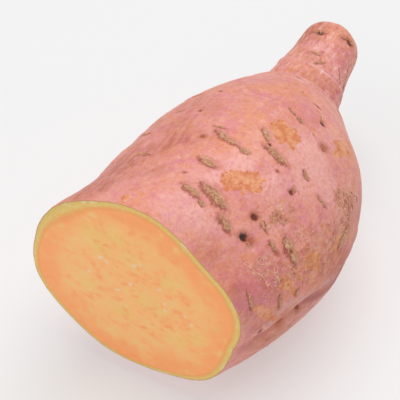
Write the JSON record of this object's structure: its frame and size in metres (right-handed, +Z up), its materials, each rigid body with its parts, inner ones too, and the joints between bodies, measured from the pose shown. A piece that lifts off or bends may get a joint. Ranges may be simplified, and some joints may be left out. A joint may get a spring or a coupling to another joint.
{
  "type": "sweet potato",
  "caption": "Sweet potato with pink, scarred skin, lying on its belly, with one end sliced off flat to show orange flesh and a short blunt neck at the other end.",
  "frame": {"origin": "middle of the bounding box's underside, on the surface that the root rests on", "axes": "+X along the root from its cut face to the tip of its neck, +Z up, +Y towards the side with the shallower furrow"},
  "size_m": [0.1404, 0.081, 0.073],
  "materials": {
    "skin": "matt to faintly satin skin, pink to salmon, with tan scars and orange rubbed patches",
    "flesh": "moist cut flesh, orange with yellow mottling and a narrow ochre ring under the skin"
  },
  "bodies": {
    "root": {"sweet_potato": "skin"}
  },
  "joints": []
}
